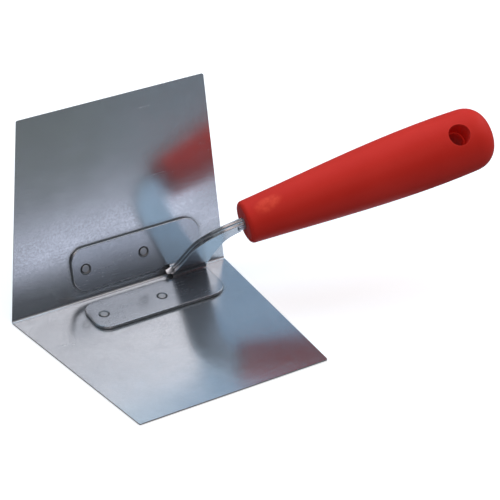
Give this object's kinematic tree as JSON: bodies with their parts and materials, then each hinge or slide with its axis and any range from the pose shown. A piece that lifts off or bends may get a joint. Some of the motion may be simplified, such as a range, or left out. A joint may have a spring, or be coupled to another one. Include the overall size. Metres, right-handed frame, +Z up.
{
  "type": "inside corner trowel",
  "caption": "Inside corner trowel: a thin steel sheet folded into an open V, with a bent twin-sheet neck riveted to both wings and a tapered round plastic handle with a hang hole.",
  "frame": {"origin": "under the middle of the tool, on the surface it lies on, with one wing flat on that surface", "axes": "+Z up, +X along the blade's crease from the nose to the handle, +Y towards the upright wing"},
  "size_m": [0.2184, 0.1119, 0.0875],
  "materials": {
    "blade_steel": "satin cold-rolled stainless sheet, fine grain along the crease",
    "bracket_steel": "satin stamped steel, edges tumbled bright",
    "rivet_steel": "ground flush",
    "red_plastic": "moulded, low gloss with a very fine texture"
  },
  "bodies": {
    "root": {"blade": "blade_steel", "lower_bracket": "bracket_steel", "upper_bracket": "bracket_steel", "lower_front_rivet": "rivet_steel", "lower_rear_rivet": "rivet_steel", "upper_front_rivet": "rivet_steel", "upper_rear_rivet": "rivet_steel", "handle": "red_plastic"}
  },
  "joints": []
}
